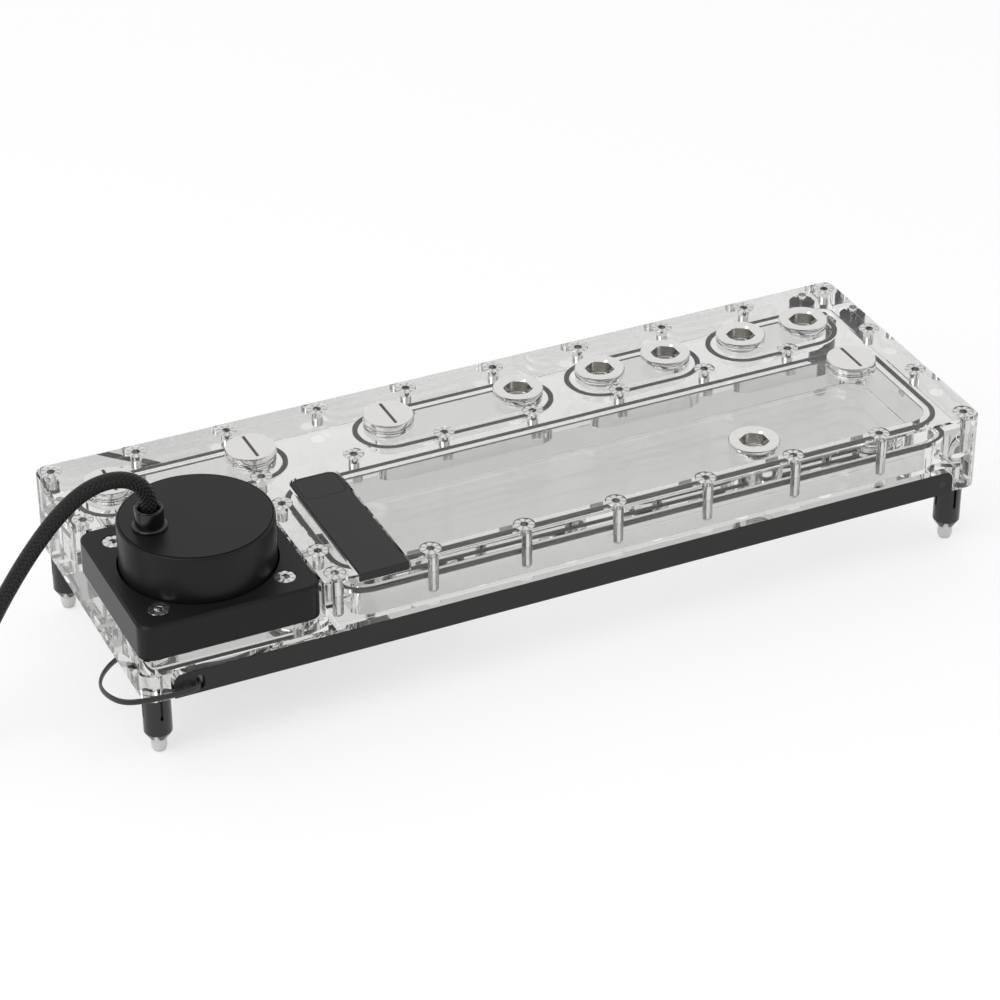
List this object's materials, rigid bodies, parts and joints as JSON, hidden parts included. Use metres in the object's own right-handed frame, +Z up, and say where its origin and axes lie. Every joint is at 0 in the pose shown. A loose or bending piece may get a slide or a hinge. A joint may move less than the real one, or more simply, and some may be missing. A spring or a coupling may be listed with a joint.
{
  "type": "coolant pump reservoir",
  "caption": "Clear acrylic coolant reservoir and distribution block with a clamped round pump, sealed channels, threaded ports with adapters and slotted plugs, a light bar and slotted feet.",
  "frame": {"origin": "centre of the block's footprint on the surface that the feet stand on", "axes": "+X along the block away from the pump, +Y towards the row of ports, +Z up"},
  "size_m": [0.457, 0.1135, 0.0961],
  "materials": {
    "clear_acrylic": "clear polished acrylic",
    "seal_cord": "matte seal cord",
    "ring_rubber": "matte",
    "bright_chrome": "bright plated",
    "stainless": "satin stainless",
    "badge_black": "satin black anodised",
    "tile_black": "smooth dark",
    "clamp_black": "satin black",
    "can_black": "satin black",
    "wet_plastic": "moulded",
    "rotor_ferrite": "sintered",
    "bearing_grey": "plain",
    "stator_steel": "lacquered laminations",
    "board_green": "lacquered board",
    "bar_black": "satin black anodised",
    "strip_white": "white",
    "chip_cream": "moulded lens",
    "braided_sleeve": "black braid",
    "light_lead": "black",
    "connector_black": "moulded",
    "foot_sleeve": "satin",
    "foot_clear": "clear soft plastic"
  },
  "bodies": {
    "block": {"lower_block": "clear_acrylic", "reservoir_floor": "clear_acrylic", "top_plate": "clear_acrylic", "reservoir_seal": "seal_cord", "pump_channel_seal": "seal_cord", "second_channel_seal": "seal_cord", "third_channel_seal": "seal_cord", "right_channel_seal": "seal_cord", "plate_screws": "stainless", "clamp_screws": "stainless", "light_bar_screws": "bar_black", "foot_studs": "stainless", "pump_shaft": "stainless", "adapter_seal_rings": "ring_rubber", "pump_seal_ring": "ring_rubber", "badge_plate": "badge_black", "badge_tile": "tile_black", "pump_clamp_plate": "clamp_black", "pump_can": "can_black", "pump_housing": "wet_plastic", "stator": "stator_steel", "control_board": "board_green", "cable_gland": "clamp_black", "light_bar_cover": "bar_black", "led_strip": "strip_white", "led_chips": "chip_cream", "foot_sleeves": "foot_sleeve", "foot_tips": "foot_clear", "pump_cable": "braided_sleeve", "pump_cable_coil": "braided_sleeve", "pump_cable_tail": "braided_sleeve", "light_cable": "light_lead", "light_cable_coil": "light_lead", "light_cable_tail": "light_lead", "pump_connector": "connector_black", "light_connector": "connector_black", "port_adapter_1": "bright_chrome", "port_adapter_2": "bright_chrome", "port_adapter_3": "bright_chrome", "port_adapter_4": "bright_chrome", "port_adapter_5": "bright_chrome", "port_adapter_6": "bright_chrome"},
    "rotor": {"impeller": "wet_plastic", "rotor_magnet": "rotor_ferrite", "rotor_bushing": "bearing_grey"},
    "stop_plug_left_ring": {"stop_plug_left_ring": "ring_rubber"},
    "stop_plug_left": {"stop_plug_left": "bright_chrome"},
    "stop_plug_pump_ring": {"stop_plug_pump_ring": "ring_rubber"},
    "stop_plug_pump": {"stop_plug_pump": "bright_chrome"},
    "stop_plug_middle_ring": {"stop_plug_middle_ring": "ring_rubber"},
    "stop_plug_middle": {"stop_plug_middle": "bright_chrome"},
    "fill_plug_ring": {"fill_plug_ring": "ring_rubber"},
    "fill_plug": {"fill_plug": "bright_chrome"}
  },
  "joints": [
    {"name": "rotor_spin", "type": "hinge", "parent": "block", "child": "rotor", "pos_m": [-0.127, -0.023, 0.045], "axis": [0, 0, 1], "continuous": true},
    {"name": "stop_plug_left_lift", "type": "slide", "parent": "block", "child": "stop_plug_left_ring", "axis": [0, 0, 1], "range_m": [0, 0.00602]},
    {"name": "stop_plug_left_turn", "type": "hinge", "parent": "stop_plug_left_ring", "child": "stop_plug_left", "pos_m": [-0.1385, 0.0325, 0.052], "axis": [0, 0, 1], "range_deg": [0, 1620]},
    {"name": "stop_plug_pump_lift", "type": "slide", "parent": "block", "child": "stop_plug_pump_ring", "axis": [0, 0, 1], "range_m": [0, 0.00602]},
    {"name": "stop_plug_pump_turn", "type": "hinge", "parent": "stop_plug_pump_ring", "child": "stop_plug_pump", "pos_m": [-0.0865, 0.0325, 0.052], "axis": [0, 0, 1], "range_deg": [0, 1620]},
    {"name": "stop_plug_middle_lift", "type": "slide", "parent": "block", "child": "stop_plug_middle_ring", "axis": [0, 0, 1], "range_m": [0, 0.00602]},
    {"name": "stop_plug_middle_turn", "type": "hinge", "parent": "stop_plug_middle_ring", "child": "stop_plug_middle", "pos_m": [-0.034, 0.0325, 0.052], "axis": [0, 0, 1], "range_deg": [0, 1620]},
    {"name": "fill_plug_lift", "type": "slide", "parent": "block", "child": "fill_plug_ring", "axis": [0, 0, 1], "range_m": [0, 0.00602]},
    {"name": "fill_plug_turn", "type": "hinge", "parent": "fill_plug_ring", "child": "fill_plug", "pos_m": [0.135, -0.003, 0.052], "axis": [0, 0, 1], "range_deg": [0, 1620]}
  ],
  "couplings": [
    {"joint": "stop_plug_left_lift", "follows": "stop_plug_left_turn", "m_per_rad": 0.00021279},
    {"joint": "stop_plug_pump_lift", "follows": "stop_plug_pump_turn", "m_per_rad": 0.00021279},
    {"joint": "stop_plug_middle_lift", "follows": "stop_plug_middle_turn", "m_per_rad": 0.00021279},
    {"joint": "fill_plug_lift", "follows": "fill_plug_turn", "m_per_rad": 0.00021279}
  ]
}
